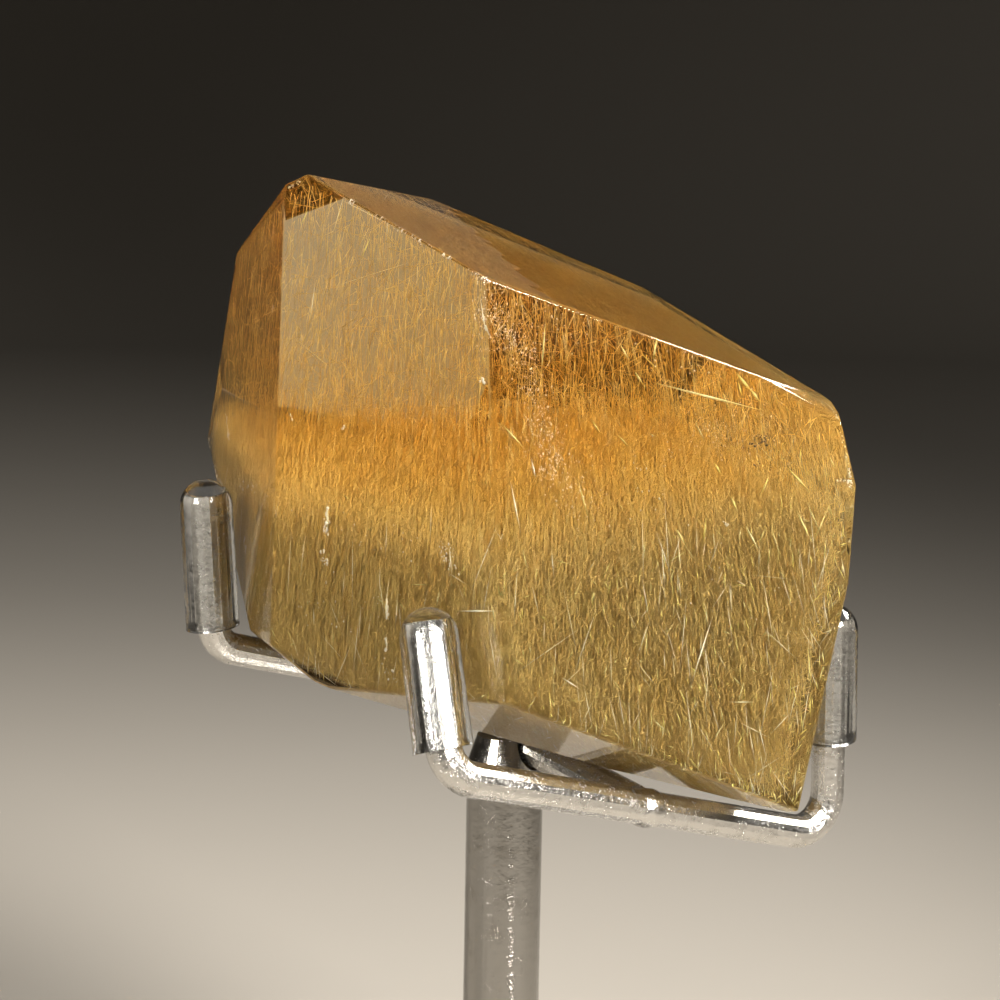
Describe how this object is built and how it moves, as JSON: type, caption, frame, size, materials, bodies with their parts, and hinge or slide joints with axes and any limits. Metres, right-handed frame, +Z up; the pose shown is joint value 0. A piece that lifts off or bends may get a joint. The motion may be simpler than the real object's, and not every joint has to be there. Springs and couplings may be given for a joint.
{
  "type": "rutilated quartz freeform on a wire stand",
  "caption": "Faceted, polished golden quartz with fine rutile needles, resting in a four-prong wire cradle with clear sleeves, on a post with a round foot.",
  "frame": {"origin": "middle of the base's flat underside, on the post's axis", "axes": "+Z up along the post, -Y towards the viewer and the stone's front ridge, +X to the viewer's right"},
  "size_m": [0.0616, 0.0593, 0.1036],
  "materials": {
    "quartz": "polished, golden, with fine needles inside",
    "wire": "bright plated, lightly pitted",
    "post": "bright plated, blistered along a seam",
    "base": "plated, softly brushed",
    "sleeve": "clear soft vinyl"
  },
  "bodies": {
    "root": {"quartz": "quartz", "front_wire": "wire", "rear_wire": "wire", "cross_bar": "wire", "post": "post", "base": "base", "front_sleeve": "sleeve", "right_sleeve": "sleeve", "left_sleeve": "sleeve", "back_sleeve": "sleeve"}
  },
  "joints": []
}
